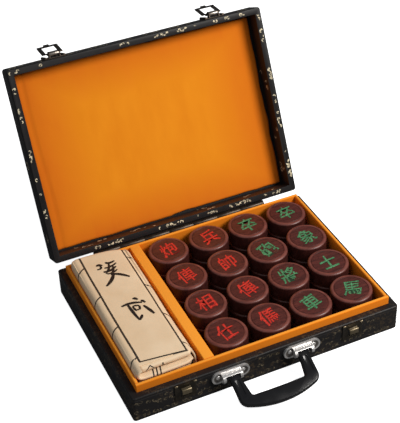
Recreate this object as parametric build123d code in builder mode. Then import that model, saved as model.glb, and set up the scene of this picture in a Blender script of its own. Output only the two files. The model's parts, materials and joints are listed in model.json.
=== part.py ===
from build123d import *
from math import atan, cos, degrees, radians, sin, sqrt
import os

# Xiangqi set in a carrying case, standing open on a table.
# X runs to the right, Y to the back, Z up. The handle and latches are at the front (-Y), the
# hinge at the back. The origin is the centre of the case's underside.
# Sizes are in millimetres and degrees.

# Case
case_width = 310.0
case_depth = 225.0
base_height = 32.0
base_wall = 8.0
bottom_thickness = 3.0
corner_radius = 3.5
edge_bevel = 0.9

# Lid
lid_height = 24.5
lid_wall = 7.5
lid_board_thickness = 2.5
lid_pad_thickness = 1.4
lid_pad_gap = 0.3
lid_open_angle = 115.4
closed_gap = 0.4

# Lining and divider
lip_rise = 9.6
lining_thickness = 3.8
lining_edge_bevel = 1.0
floor_lining_thickness = 0.8
divider_thickness = 12.4
board_bay_width = 72.0

# Piano hinge
hinge_length = 217.0
knuckle_count = 7
knuckle_radius = 3.8
knuckle_wall = 1.0
knuckle_end_gap = 0.3
wall_gap = 0.1
leaf_width = 12.0
leaf_thickness = 1.0
leaf_notch_gap = 0.4
running_fit = 0.05
stop_spacing = 150.0
stop_width = 10.0
stop_thickness = 1.6
stop_reach = 7.0
stop_gap = 0.05

# Pieces: the top layer as seen from above, back row first, then the layer under it
top_layer = [
    ["red_cannons", "red_soldiers", "green_soldiers", "green_soldiers"],
    ["red_chariots", "red_general", "green_cannons", "green_elephants"],
    ["red_elephants", "red_chariots", "green_general", "green_advisors"],
    ["red_advisors", "red_horses", "green_chariots", "green_horses"],
]
under_layer = [
    ["red_soldiers", "red_cannons", "green_cannons", "green_elephants"],
    ["red_soldiers", "red_soldiers", "green_soldiers", "green_soldiers"],
    ["red_soldiers", "red_horses", "green_soldiers", "green_chariots"],
    ["red_elephants", "red_advisors", "green_horses", "green_advisors"],
]
piece_height = 19.5
piece_bevel_width = 2.0
piece_bevel_height = 3.2
piece_gap = 3.8
piece_side_gap = 2.5
piece_end_gap = 2.2
piece_sides = 32
hidden_piece_sides = 20

# Folded board
board_height = 47.0
board_side_gap = 0.3
board_side_room = 2.3
board_end_gap = 2.7
board_round = 9.0
board_under_round = 4.0
board_end_bevel = 2.4
board_fold_length = 7.5
board_fold_count = 4
board_fold_inset = 3.6
board_fold_step = 0.6

# Latches
latch_end_distance = 57.5
plate_width = 24.6
plate_length = 18.0
plate_thickness = 1.0
plate_mouth_gap = 1.0
plate_bead_radius = 1.5
lever_width = 10.5
lever_barrel_radius = 3.0
lever_pivot_from_mouth = 4.5
lever_pivot_height = 5.0
lever_pin_radius = 1.0
lever_tail_length = 13.5
lever_tail_thickness = 1.3
lever_side_gap = 0.2
ear_thickness = 1.0
ear_radius = 3.2
loop_pivot_from_mouth = 10.0
loop_pivot_height = 5.3
loop_barrel_radius = 1.7
loop_pin_radius = 0.8
loop_width = 24.2
loop_bar_width = 4.6
loop_thickness = 1.2
loop_reach = 19.6
loop_end_bar = 2.4
loop_tab_width = 6.5
loop_tab_length = 3.4
loop_rest_angle = 20.0

# Catches
catch_width = 24.0
catch_bottom = 10.0
catch_top = 31.0
catch_thickness = 1.0
hook_width = 10.5
hook_thickness = 1.0
hook_drop = 6.0
hook_play = 0.25
bar_height = 3.2
catch_bead_radius = 1.1
catch_bead_length = 3.2

# Handle
handle_centre = -5.5
bracket_spacing = 83.0
bracket_width = 43.0
bracket_height = 15.0
bracket_centre_height = 21.5
bracket_thickness = 2.4
bracket_dish_radius = 5.8
bracket_dish_depth = 1.3
pivot_height = 21.0
pivot_offset = 4.0
hub_radius = 2.9
hub_length = 19.6
hub_end_gap = 0.2
vault_radius = 5.2
vault_wall = 1.2
window_width = 16.4
window_angle = 50.0
bridge_thickness = 1.6
grip_half_width = 45.5
grip_inner_half_width = 34.7
grip_blade_inner_half_width = 30.5
grip_inner_reach = 27.0
grip_inner_bow = 0.5
grip_inner_round = 3.0
grip_corner_reach = 34.3
grip_outer_round = 10.0
grip_reach = 44.3
grip_thickness = 6.4
grip_edge_bevel = 1.7
grip_droop = 24.0
groove_width = 4.6
groove_length = 17.0
groove_depth = 0.8

# Screws
screw_head_radius = 2.6
screw_head_height = 1.0
screw_shank_radius = 1.2
screw_length = 5.0
screw_head_sides = 10
screw_head_taper = 35.0
screw_shank_sides = 6
screw_hole_gap = 0.25
hinge_screw_count = 6
hinge_screw_edge = 1.1

# Places that follow from the sizes
front_y = -case_depth / 2
inner_width = case_width - 2 * base_wall
inner_depth = case_depth - 2 * base_wall
mouth_z = base_height + closed_gap
lid_top_z = mouth_z + lid_height
lid_board_z = lid_top_z - lid_board_thickness
lip_z = base_height + lip_rise
floor_z = bottom_thickness + floor_lining_thickness
bay_depth = inner_depth - 2 * lining_thickness
bay_left = -inner_width / 2 + lining_thickness
divider_left = bay_left + board_bay_width
piece_bay_left = divider_left + divider_thickness
piece_bay_width = -bay_left - piece_bay_left
piece_bay_middle = piece_bay_left + piece_bay_width / 2
piece_pitch_x = (piece_bay_width - 2 * piece_side_gap + piece_gap) / len(top_layer[0])
piece_pitch_y = (bay_depth - 2 * piece_end_gap + piece_gap) / len(top_layer)
piece_diameter = min(piece_pitch_x, piece_pitch_y) - piece_gap
board_width = board_bay_width - board_side_gap - board_side_room
board_length = bay_depth - 2 * board_end_gap
pin_y = case_depth / 2 + knuckle_radius + wall_gap
pin_z = base_height + closed_gap / 2
knuckle_bore = knuckle_radius - knuckle_wall
knuckle_pitch = hinge_length / knuckle_count
hinge_screw_drop = leaf_width - screw_head_radius - hinge_screw_edge
latch_x = case_width / 2 - latch_end_distance
latch_places = [("left", -latch_x), ("right", latch_x)]
bracket_places = [
    ("left", handle_centre - bracket_spacing / 2),
    ("right", handle_centre + bracket_spacing / 2),
]
bracket_lobe = bracket_width / 2 - bracket_height / 2
bracket_seat_height = bracket_thickness - bracket_dish_depth
loop_fall = loop_pivot_height - bar_height
bar_z = mouth_z + loop_pivot_from_mouth - sqrt(loop_reach**2 - loop_fall**2)

# The open lid's plane: a point's coordinates on it are its place when the lid is closed.
open_sine = sin(radians(lid_open_angle))
open_cosine = cos(radians(lid_open_angle))
pin_plane = Plane(origin=(0, pin_y, pin_z), x_dir=(1, 0, 0), z_dir=(0, open_sine, open_cosine))
lid_plane = Plane(
    origin=pin_plane.from_local_coords((0, -pin_y, -pin_z)),
    x_dir=pin_plane.x_dir,
    z_dir=pin_plane.z_dir,
)

# Outer faces, with X to the right and height (closed height on the lid) up
base_front = Plane(origin=(0, front_y, 0), x_dir=(1, 0, 0), z_dir=(0, -1, 0))
base_back = Plane(origin=(0, -front_y, 0), x_dir=(-1, 0, 0), z_dir=(0, 1, 0))
lid_front = Plane(
    origin=lid_plane.from_local_coords((0, front_y, 0)),
    x_dir=lid_plane.x_dir,
    z_dir=lid_plane.y_dir * -1,
)
lid_back = Plane(
    origin=lid_plane.from_local_coords((0, -front_y, 0)),
    x_dir=lid_plane.x_dir * -1,
    z_dir=lid_plane.y_dir,
)


def across(frame, x):
    """Plane across the case at x: its first axis is depth, its second is height."""
    return Plane(
        origin=frame.from_local_coords((x, 0, 0)), x_dir=frame.y_dir, z_dir=frame.x_dir
    )


def across_front(face, x, height):
    """Plane across a front face at x: first axis up the face from height, second axis outwards."""
    return Plane(
        origin=face.from_local_coords((x, height, 0)), x_dir=face.y_dir, z_dir=face.x_dir
    )


def finish(piece, name):
    """Name a finished piece and write it."""
    piece.part.label = name
    export_step(piece.part, f"parts/{name}.step")


def drill(face, places, depth):
    """Screw holes into a face, in the part that is being built."""
    with BuildSketch(face) as holes:
        with Locations(*places):
            RegularPolygon(screw_shank_radius + screw_hole_gap, screw_shank_sides)
    extrude(holes.sketch, amount=-depth, mode=Mode.SUBTRACT)


def make_screws(name, seat, places):
    """Low domed heads on their seat plane, each with a shank behind it."""
    with BuildPart() as screws:
        with BuildSketch(seat):
            with Locations(*places):
                RegularPolygon(screw_head_radius, screw_head_sides)
        extrude(amount=screw_head_height, taper=screw_head_taper)
        with BuildSketch(seat):
            with Locations(*places):
                RegularPolygon(screw_shank_radius, screw_shank_sides)
        extrude(amount=-screw_length)
    finish(screws, name)


# Where the screws sit
hinge_screw_pitch = hinge_length / hinge_screw_count
hinge_screw_xs = [
    (index + 0.5) * hinge_screw_pitch - hinge_length / 2 for index in range(hinge_screw_count)
]
base_hinge_screws = [(x, pin_z - hinge_screw_drop) for x in hinge_screw_xs]
lid_hinge_screws = [(x, pin_z + hinge_screw_drop) for x in hinge_screw_xs]
bracket_screws = [
    (x + side * bracket_lobe, bracket_centre_height)
    for place, x in bracket_places
    for side in (-1, 1)
]


def make_base_frame():
    """Four glued walls, rounded where the covering wraps round the outside."""
    with BuildPart() as base_frame:
        with BuildSketch():
            RectangleRounded(case_width, case_depth, corner_radius)
            Rectangle(inner_width, inner_depth, mode=Mode.SUBTRACT)
        extrude(amount=base_height)
        rim = base_frame.faces().sort_by(Axis.Z)[-1]
        foot = base_frame.faces().sort_by(Axis.Z)[0]
        chamfer(rim.outer_wire().edges() + foot.outer_wire().edges(), edge_bevel)
        drill(base_front, bracket_screws, screw_length - bracket_seat_height)
        drill(base_back, base_hinge_screws, screw_length - leaf_thickness)
    finish(base_frame, "base_frame")


def make_base_bottom():
    with BuildPart() as base_bottom:
        with BuildSketch():
            Rectangle(inner_width, inner_depth)
        extrude(amount=bottom_thickness)
    finish(base_bottom, "base_bottom")


def make_lining(name, x, y, width, depth):
    """A covered board on edge, with its two long top edges eased."""
    with BuildPart() as board:
        with BuildSketch(Plane.XY.offset(bottom_thickness)):
            with Locations((x, y)):
                Rectangle(width, depth)
        extrude(amount=lip_z - bottom_thickness)
        top = board.faces().sort_by(Axis.Z)[-1]
        along = Axis.X if width > depth else Axis.Y
        chamfer(top.edges().filter_by(along), lining_edge_bevel)
    finish(board, name)


def make_linings():
    long_y = inner_depth / 2 - lining_thickness / 2
    side_x = inner_width / 2 - lining_thickness / 2
    make_lining("lining_front", 0, -long_y, inner_width, lining_thickness)
    make_lining("lining_back", 0, long_y, inner_width, lining_thickness)
    make_lining("lining_left", -side_x, 0, lining_thickness, bay_depth)
    make_lining("lining_right", side_x, 0, lining_thickness, bay_depth)
    divider_x = divider_left + divider_thickness / 2
    make_lining("divider", divider_x, 0, divider_thickness, bay_depth)


def make_floor_lining(name, left, width):
    with BuildPart() as floor_lining:
        with BuildSketch(Plane.XY.offset(bottom_thickness)):
            with Locations((left + width / 2, 0)):
                Rectangle(width, bay_depth)
        extrude(amount=floor_lining_thickness)
    finish(floor_lining, name)


def piece_places(layer, name):
    """Centres of one layer's pieces of one name."""
    places = []
    for row, names in enumerate(layer):
        for column, piece_name in enumerate(names):
            if piece_name == name:
                x = piece_bay_middle + (column - (len(names) - 1) / 2) * piece_pitch_x
                y = ((len(layer) - 1) / 2 - row) * piece_pitch_y
                places.append((x, y))
    return places


def make_pieces(name):
    """Turned drums, bevelled round the face that shows. Those underneath are plainer."""
    seat_z = floor_z + piece_height
    shoulder_z = seat_z + piece_height - piece_bevel_height
    bevel_angle = degrees(atan(piece_bevel_width / piece_bevel_height))
    with BuildPart() as pieces:
        for place in piece_places(under_layer, name):
            with BuildSketch(Plane.XY.offset(floor_z)):
                with Locations(place):
                    RegularPolygon(piece_diameter / 2, hidden_piece_sides)
            extrude(amount=piece_height)
        for place in piece_places(top_layer, name):
            with BuildSketch(Plane.XY.offset(seat_z)):
                with Locations(place):
                    RegularPolygon(piece_diameter / 2, piece_sides)
            extrude(amount=shoulder_z - seat_z)
            with BuildSketch(Plane.XY.offset(shoulder_z)):
                with Locations(place):
                    RegularPolygon(piece_diameter / 2, piece_sides)
            extrude(amount=piece_bevel_height, taper=bevel_angle)
    finish(pieces, name)


def make_folded_board():
    """The playing board folded up: an outer wrap over a stack of folds that show at the front."""
    centre_x = bay_left + board_side_gap + board_width / 2
    wrap_front = -board_length / 2 + board_fold_length
    fold_height = (board_height - board_round) / board_fold_count
    fold_width = board_width - 2 * board_fold_inset
    with BuildPart() as folded_board:
        with BuildSketch(Plane.XZ.offset(-board_length / 2)):
            with Locations((centre_x, floor_z)):
                Rectangle(board_width, board_height, align=(Align.CENTER, Align.MIN))
            fillet(vertices().group_by(Axis.Y)[-1], board_round)
            fillet(vertices().group_by(Axis.Y)[0], board_under_round)
        extrude(amount=board_length / 2 - wrap_front)
        ends = folded_board.faces().filter_by(Axis.Y)
        chamfer(ends.edges(), board_end_bevel)
        for level in range(board_fold_count):
            foot = floor_z + level * fold_height
            reach = board_length / 2 - board_fold_step * (level % 2)
            with BuildSketch(Plane.YZ.offset(centre_x - fold_width / 2)):
                with Locations((-reach + fold_height / 2, foot + fold_height / 2)):
                    Circle(fold_height / 2)
                with Locations((-reach + fold_height / 2, foot)):
                    Rectangle(2 * board_fold_length, fold_height, align=Align.MIN)
            extrude(amount=fold_width)
    finish(folded_board, "folded_board")


def knuckle_starts(first):
    """Left ends of every second knuckle, from the first one given."""
    return [
        index * knuckle_pitch - hinge_length / 2 + knuckle_end_gap / 2
        for index in range(first, knuckle_count, 2)
    ]


def build_leaf(frame, side, first):
    """One leaf of the hinge on a back wall, below (side -1) or above (side 1) the pin."""
    wall_y = -front_y
    notch = knuckle_radius + leaf_notch_gap
    with BuildSketch(across(frame, -hinge_length / 2)) as strip:
        with Locations((wall_y + leaf_thickness / 2, pin_z + side * (leaf_width + notch) / 2)):
            Rectangle(leaf_thickness, leaf_width - notch)
    extrude(strip.sketch, amount=hinge_length)
    for start in knuckle_starts(first):
        with BuildSketch(across(frame, start)) as knuckle:
            with Locations((wall_y + leaf_thickness / 2, pin_z + side * (notch + 0.1) / 2)):
                Rectangle(leaf_thickness, notch + 0.1)
            with Locations((pin_y, pin_z)):
                Circle(knuckle_radius)
                Circle(knuckle_bore, mode=Mode.SUBTRACT)
        extrude(knuckle.sketch, amount=knuckle_pitch - knuckle_end_gap)


def make_hinge_leaf_base():
    """Base leaf, with two stops bent out of it that meet the lid's leaf when the lid is open."""
    face_y = -front_y + leaf_thickness - pin_y
    along = Vector(open_sine, open_cosine)
    out = Vector(open_cosine, -open_sine)
    contact = Vector(face_y * open_cosine, -face_y * open_sine) + along * stop_reach
    contact = contact + out * stop_gap + Vector(pin_y, pin_z)
    upper_end = contact - along * (stop_thickness / 2)
    lower_end = contact + along * (stop_thickness / 2)
    root_y = -front_y + leaf_thickness / 2
    root_top = pin_z - 2 * knuckle_radius - leaf_notch_gap
    root_bottom = root_top - 1.2 * stop_thickness
    with BuildPart() as hinge_leaf_base:
        build_leaf(Plane.XY, -1, 0)
        for side in (-1, 1):
            stop_left = side * stop_spacing / 2 - stop_width / 2
            with BuildSketch(across(Plane.XY, stop_left)):
                with BuildLine():
                    Polyline(
                        (upper_end.X, upper_end.Y),
                        (lower_end.X, lower_end.Y),
                        (root_y, root_bottom),
                        (root_y, root_top),
                        close=True,
                    )
                make_face()
            extrude(amount=stop_width)
        drill(base_back.offset(leaf_thickness), base_hinge_screws, 2 * leaf_thickness)
    finish(hinge_leaf_base, "hinge_leaf_base")


def make_hinge_leaf_lid():
    with BuildPart() as hinge_leaf_lid:
        build_leaf(lid_plane, 1, 1)
        drill(lid_back.offset(leaf_thickness), lid_hinge_screws, 2 * leaf_thickness)
    finish(hinge_leaf_lid, "hinge_leaf_lid")


def make_hinge_pin():
    with BuildPart() as hinge_pin:
        with BuildSketch(across(Plane.XY, -hinge_length / 2)):
            with Locations((pin_y, pin_z)):
                Circle(knuckle_bore - running_fit)
        extrude(amount=hinge_length)
    finish(hinge_pin, "hinge_pin")


def make_lid_frame():
    """Four walls of the lid; the covering wraps round their outside."""
    with BuildPart() as lid_frame:
        with BuildSketch(lid_plane.offset(mouth_z)):
            RectangleRounded(case_width, case_depth, corner_radius)
            Rectangle(case_width - 2 * lid_wall, case_depth - 2 * lid_wall, mode=Mode.SUBTRACT)
        extrude(amount=lid_height)
        ends = lid_frame.faces().filter_by(lid_plane)
        chamfer([edge for end in ends for edge in end.outer_wire().edges()], edge_bevel)
        drill(lid_back, lid_hinge_screws, screw_length - leaf_thickness)
    finish(lid_frame, "lid_frame")


def make_lid_board():
    with BuildPart() as lid_board:
        with BuildSketch(lid_plane.offset(lid_board_z)):
            Rectangle(case_width - 2 * lid_wall, case_depth - 2 * lid_wall)
        extrude(amount=lid_board_thickness)
    finish(lid_board, "lid_board")


def make_lid_pad():
    """Thin covered pad that lines the inside of the lid."""
    shrink = 2 * lid_wall + 2 * lid_pad_gap
    with BuildPart() as lid_pad:
        with BuildSketch(lid_plane.offset(lid_board_z)):
            Rectangle(case_width - shrink, case_depth - shrink)
        extrude(amount=-lid_pad_thickness)
        low_face = lid_pad.faces().sort_by(Axis((0, 0, 0), lid_plane.z_dir))[0]
        fillet(low_face.edges(), lid_pad_thickness / 2)
    finish(lid_pad, "lid_pad")


def latch_side(x):
    """Plane across a latch: first axis up from the lid's mouth, second axis out of its wall."""
    return across_front(lid_front, x, mouth_z)


lever_pivot = (lever_pivot_from_mouth, lever_pivot_height)
loop_pivot = (loop_pivot_from_mouth, loop_pivot_height)
ear_inner = lever_width / 2 + lever_side_gap
ear_outer = ear_inner + ear_thickness


def make_latch_plate(place, x):
    """Stamped plate with rolled sides and two ears that carry the lever's pin."""
    with BuildPart() as latch_plate:
        with BuildSketch(latch_side(x - plate_width / 2)):
            with Locations((plate_mouth_gap, 0)):
                Rectangle(plate_length, plate_thickness, align=Align.MIN)
        extrude(amount=plate_width)
        foot = lid_plane.offset(mouth_z + plate_mouth_gap)
        for side in (-1, 1):
            bead_x = x + side * (plate_width / 2 - plate_bead_radius)
            with BuildSketch(foot):
                with Locations((bead_x, front_y - plate_bead_radius)):
                    Circle(plate_bead_radius)
            extrude(amount=plate_length)
        for left in (x - ear_outer, x + ear_inner):
            with BuildSketch(latch_side(left)):
                with Locations((lever_pivot_from_mouth, lever_pivot_height / 2)):
                    Rectangle(2 * ear_radius, lever_pivot_height)
                with Locations(lever_pivot):
                    Circle(ear_radius)
                    Circle(lever_pin_radius + running_fit, mode=Mode.SUBTRACT)
            extrude(amount=ear_thickness)
    finish(latch_plate, f"latch_plate_{place}")


def make_lever_pin(place, x):
    with BuildPart() as lever_pin:
        with BuildSketch(latch_side(x - ear_outer)):
            with Locations(lever_pivot):
                Circle(lever_pin_radius)
        extrude(amount=2 * ear_outer)
    finish(lever_pin, f"lever_pin_{place}")


def make_latch_lever(place, x):
    """Lever: a barrel round its own pin, one round the loop's pin, and a finger tail."""
    tail_end = (lever_pivot_from_mouth + lever_tail_length, lever_pivot_height - 0.3)
    tail_middle = (
        (loop_pivot_from_mouth + tail_end[0]) / 2 + 0.6,
        loop_pivot_height - loop_barrel_radius - 0.2,
    )
    with BuildPart() as latch_lever:
        with BuildSketch(latch_side(x - lever_width / 2)):
            with Locations(lever_pivot):
                Circle(lever_barrel_radius)
            with Locations(loop_pivot):
                Circle(loop_barrel_radius)
            make_hull()
            with BuildLine(mode=Mode.PRIVATE) as tail:
                ThreePointArc(loop_pivot, tail_middle, tail_end)
            SlotArc(tail.edge(), lever_tail_thickness)
            with Locations(lever_pivot):
                Circle(lever_pin_radius + running_fit, mode=Mode.SUBTRACT)
            with Locations(loop_pivot):
                Circle(loop_pin_radius + running_fit, mode=Mode.SUBTRACT)
        extrude(amount=lever_width)
    finish(latch_lever, f"latch_lever_{place}")


def make_latch_loop(place, x):
    """Flat loop with a finger tab on its end bar, closed by the pin that it turns on."""
    side = latch_side(x)
    rest = radians(loop_rest_angle)
    reach = side.x_dir * cos(rest) + side.y_dir * sin(rest)
    flat = Plane(
        origin=side.from_local_coords(loop_pivot),
        x_dir=side.z_dir,
        z_dir=side.z_dir.cross(reach),
    )
    outer_end = loop_reach + loop_end_bar / 2
    inner_width_of_loop = loop_width - 2 * loop_bar_width
    with BuildPart() as latch_loop:
        with BuildSketch(flat):
            Rectangle(loop_width, outer_end, align=(Align.CENTER, Align.MIN))
            fillet(vertices().group_by(Axis.Y)[-1], 1.0)
            with Locations((0, outer_end - 0.5)):
                Rectangle(
                    loop_tab_width, loop_tab_length + 0.5, align=(Align.CENTER, Align.MIN)
                )
            Rectangle(
                inner_width_of_loop,
                outer_end - loop_end_bar,
                align=(Align.CENTER, Align.MIN),
                mode=Mode.SUBTRACT,
            )
        extrude(amount=loop_thickness / 2, both=True)
        with BuildSketch(latch_side(x - loop_width / 2)):
            with Locations(loop_pivot):
                Circle(loop_pin_radius)
        extrude(amount=loop_width)
    finish(latch_loop, f"latch_loop_{place}")


def make_catch(place, x):
    """Stamped plate whose middle tongue is bent up and over into a hook for the loop's end bar."""
    roof = bar_z + loop_end_bar / 2 + hook_play
    front = bar_height + loop_thickness / 2 + hook_play
    crest = roof + hook_thickness
    tip = crest - hook_drop
    tongue_length = front + hook_thickness + hook_drop
    window_bottom = roof - tongue_length
    bead_z = catch_top - catch_bead_radius
    with BuildPart() as catch:
        with BuildSketch(across_front(base_front, x - catch_width / 2, 0)):
            with Locations((catch_bottom, 0)):
                Rectangle(catch_top - catch_bottom, catch_thickness, align=Align.MIN)
        extrude(amount=catch_width)
        for left in (x - catch_width / 2, x + catch_width / 2 - catch_bead_length):
            with BuildSketch(across_front(base_front, left, 0)):
                with Locations((bead_z, catch_bead_radius)):
                    Circle(catch_bead_radius)
            extrude(amount=catch_bead_length)
        with BuildSketch(base_front):
            with Locations((x, window_bottom)):
                Rectangle(
                    hook_width + 2 * hook_play,
                    roof - window_bottom,
                    align=(Align.CENTER, Align.MIN),
                )
        extrude(amount=catch_thickness, mode=Mode.SUBTRACT)
        with BuildSketch(across_front(base_front, x - hook_width / 2, 0)):
            with BuildLine():
                FilletPolyline(
                    (crest, 0),
                    (crest, front + hook_thickness),
                    (tip, front + hook_thickness),
                    radius=1.6,
                )
                Polyline((tip, front + hook_thickness), (tip, front))
                FilletPolyline((tip, front), (roof, front), (roof, 0), radius=0.6)
                Line((roof, 0), (crest, 0))
            make_face()
        extrude(amount=hook_width)
    finish(catch, f"catch_{place}")


def build_vault(x, half_width, radius, mode):
    """A round-topped block over the handle's pivot, added to or cut from the bracket."""
    with BuildSketch(across_front(base_front, x - half_width, 0)) as section:
        with Locations((pivot_height, pivot_offset)):
            Circle(radius)
        with Locations((pivot_height, 0)):
            Rectangle(2 * radius, pivot_offset, align=(Align.CENTER, Align.MIN))
            Rectangle(
                2 * radius, radius, align=(Align.CENTER, Align.MAX), mode=Mode.SUBTRACT
            )
    extrude(section.sketch, amount=2 * half_width, mode=mode)


def make_bracket(place, x):
    """Handle bracket: two dished lobes for screws and a vault, open in front and below, that
    holds the handle's end in its two ears under a bridge."""
    hub_space = hub_radius + running_fit
    seat_half = hub_length / 2 + hub_end_gap
    window_z = pivot_height + vault_radius * sin(radians(window_angle))
    window_foot = bracket_centre_height - bracket_height / 2 - 1
    clear_radius = vault_radius - bridge_thickness
    lobes = [(x + side * bracket_lobe, bracket_centre_height) for side in (-1, 1)]
    with BuildPart() as bracket:
        with BuildSketch(base_front):
            with Locations((x, bracket_centre_height)):
                SlotOverall(bracket_width, bracket_height)
        extrude(amount=bracket_thickness)
        with BuildSketch(base_front.offset(bracket_thickness)):
            with Locations(*lobes):
                Circle(bracket_dish_radius)
        extrude(amount=-bracket_dish_depth, mode=Mode.SUBTRACT)
        build_vault(x, seat_half + vault_wall, vault_radius, Mode.ADD)
        build_vault(x, seat_half, hub_space, Mode.SUBTRACT)
        build_vault(x, window_width / 2, clear_radius, Mode.SUBTRACT)
        with BuildSketch(across_front(base_front, x - window_width / 2, 0)):
            with Locations((window_z, 0)):
                Rectangle(
                    window_z - window_foot,
                    pivot_offset + vault_radius + 1,
                    align=(Align.MAX, Align.MIN),
                )
        extrude(amount=window_width, mode=Mode.SUBTRACT)
        drill(base_front.offset(bracket_seat_height), lobes, 2 * bracket_thickness)
    finish(bracket, f"handle_bracket_{place}")


def make_handle_grip():
    """Moulded grip: a bowed blade, two grooved arms and a cross bar on each arm's end."""
    droop = radians(grip_droop)
    grip_plane = Plane(
        origin=(handle_centre, front_y - pivot_offset, pivot_height),
        x_dir=(1, 0, 0),
        z_dir=(0, sin(droop), -cos(droop)),
    )
    arm_middle = (grip_half_width + grip_inner_half_width) / 2
    with BuildPart() as handle_grip:
        with BuildSketch(grip_plane):
            with BuildLine():
                Line((grip_half_width, 0), (grip_half_width, grip_corner_reach))
                ThreePointArc(
                    (grip_half_width, grip_corner_reach),
                    (0, grip_reach),
                    (-grip_half_width, grip_corner_reach),
                )
                Polyline(
                    (-grip_half_width, grip_corner_reach),
                    (-grip_half_width, 0),
                    (-grip_inner_half_width, 0),
                    (-grip_blade_inner_half_width, grip_inner_reach),
                )
                ThreePointArc(
                    (-grip_blade_inner_half_width, grip_inner_reach),
                    (0, grip_inner_reach + grip_inner_bow),
                    (grip_blade_inner_half_width, grip_inner_reach),
                )
                Polyline(
                    (grip_blade_inner_half_width, grip_inner_reach),
                    (grip_inner_half_width, 0),
                    (grip_half_width, 0),
                )
            make_face()
            fillet(vertices().filter_by_position(Axis.Y, 1, grip_inner_reach + 0.1), grip_inner_round)
            outer = vertices().filter_by_position(
                Axis.Y, grip_corner_reach - 0.1, grip_corner_reach + 0.1
            )
            fillet(outer, grip_outer_round)
        extrude(amount=grip_thickness / 2, both=True)
        long_edges = handle_grip.faces().filter_by(grip_plane).edges()
        long_edges = long_edges.filter_by(
            lambda edge: abs(grip_plane.to_local_coords(edge @ 0.5).Y) > 0.1
        )
        chamfer(long_edges, grip_edge_bevel)
        for side in (-1, 1):
            hub_x = handle_centre + side * bracket_spacing / 2
            with BuildSketch(across_front(base_front, hub_x - hub_length / 2, 0)):
                with Locations((pivot_height, pivot_offset)):
                    Circle(hub_radius)
            extrude(amount=hub_length)
            for face in (-1, 1):
                with BuildSketch(grip_plane.offset(face * grip_thickness / 2)):
                    with Locations((side * (arm_middle - 0.8), grip_inner_reach / 2 + 2)):
                        Rectangle(groove_width, groove_length)
                extrude(amount=-face * groove_depth, mode=Mode.SUBTRACT)
    finish(handle_grip, "handle_grip")


def main():
    os.makedirs("parts", exist_ok=True)
    make_base_frame()
    make_base_bottom()
    make_linings()
    make_floor_lining("floor_lining_board", bay_left, board_bay_width)
    make_floor_lining("floor_lining_pieces", piece_bay_left, piece_bay_width)
    for name in sorted({name for row in top_layer for name in row}):
        make_pieces(name)
    make_folded_board()
    make_hinge_leaf_base()
    make_hinge_leaf_lid()
    make_hinge_pin()
    make_lid_frame()
    make_lid_board()
    make_lid_pad()
    for place, x in latch_places:
        make_latch_plate(place, x)
        make_lever_pin(place, x)
        make_latch_lever(place, x)
        make_latch_loop(place, x)
        make_catch(place, x)
    for place, x in bracket_places:
        make_bracket(place, x)
    make_handle_grip()
    make_screws("bracket_screws", base_front.offset(bracket_seat_height), bracket_screws)
    make_screws("hinge_screws_base", base_back.offset(leaf_thickness), base_hinge_screws)
    make_screws("hinge_screws_lid", lid_back.offset(leaf_thickness), lid_hinge_screws)


main()
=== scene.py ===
import json
from math import atan2, cos, pi, radians, sin
from random import Random

import bpy
import bmesh
from mathutils import Matrix, Vector, noise

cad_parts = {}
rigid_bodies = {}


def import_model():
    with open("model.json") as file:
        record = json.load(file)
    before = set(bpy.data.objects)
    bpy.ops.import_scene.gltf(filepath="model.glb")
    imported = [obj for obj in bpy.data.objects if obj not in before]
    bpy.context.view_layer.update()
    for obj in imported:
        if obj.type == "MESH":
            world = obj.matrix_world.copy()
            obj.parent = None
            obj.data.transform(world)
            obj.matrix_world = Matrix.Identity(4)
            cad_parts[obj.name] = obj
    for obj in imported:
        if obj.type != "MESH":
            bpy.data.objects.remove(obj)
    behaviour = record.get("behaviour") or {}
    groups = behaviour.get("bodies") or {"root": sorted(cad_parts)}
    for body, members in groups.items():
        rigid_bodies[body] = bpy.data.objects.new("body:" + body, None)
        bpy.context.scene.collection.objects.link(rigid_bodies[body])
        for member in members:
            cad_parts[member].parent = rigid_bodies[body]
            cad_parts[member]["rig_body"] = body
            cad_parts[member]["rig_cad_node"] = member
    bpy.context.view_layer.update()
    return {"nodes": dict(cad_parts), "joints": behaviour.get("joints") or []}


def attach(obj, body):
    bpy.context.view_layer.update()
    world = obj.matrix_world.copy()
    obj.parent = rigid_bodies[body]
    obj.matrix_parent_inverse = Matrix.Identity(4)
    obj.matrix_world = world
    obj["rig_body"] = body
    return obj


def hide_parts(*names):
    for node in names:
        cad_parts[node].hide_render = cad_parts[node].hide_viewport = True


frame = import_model()
nodes = frame["nodes"]

# ---------------------------------------------------------------------------------------------
# Camera. It looks down on the open case from the front left.
view_turn = radians(23.36)
view_drop = radians(37.53)
view_roll = radians(-2.4)
looking = Vector((sin(view_turn) * cos(view_drop), cos(view_turn) * cos(view_drop), -sin(view_drop)))
level = Vector((cos(view_turn), -sin(view_turn), 0))
raised = level.cross(looking)
camera_right = level * cos(view_roll) + raised * sin(view_roll)
camera_up = raised * cos(view_roll) - level * sin(view_roll)
bpy.ops.object.camera_add()
camera = bpy.context.object
camera.name = "camera"
axes = Matrix((camera_right, camera_up, -looking)).transposed().to_4x4()
camera.matrix_world = Matrix.Translation((-0.4120, -0.8969, 0.8966)) @ axes
camera.data.sensor_fit = "HORIZONTAL"
camera.data.sensor_width = 36
camera.data.lens = 106.7
camera.data.clip_start = 0.05
scene = bpy.context.scene
scene.camera = camera
scene.view_settings.view_transform = "Standard"


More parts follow.
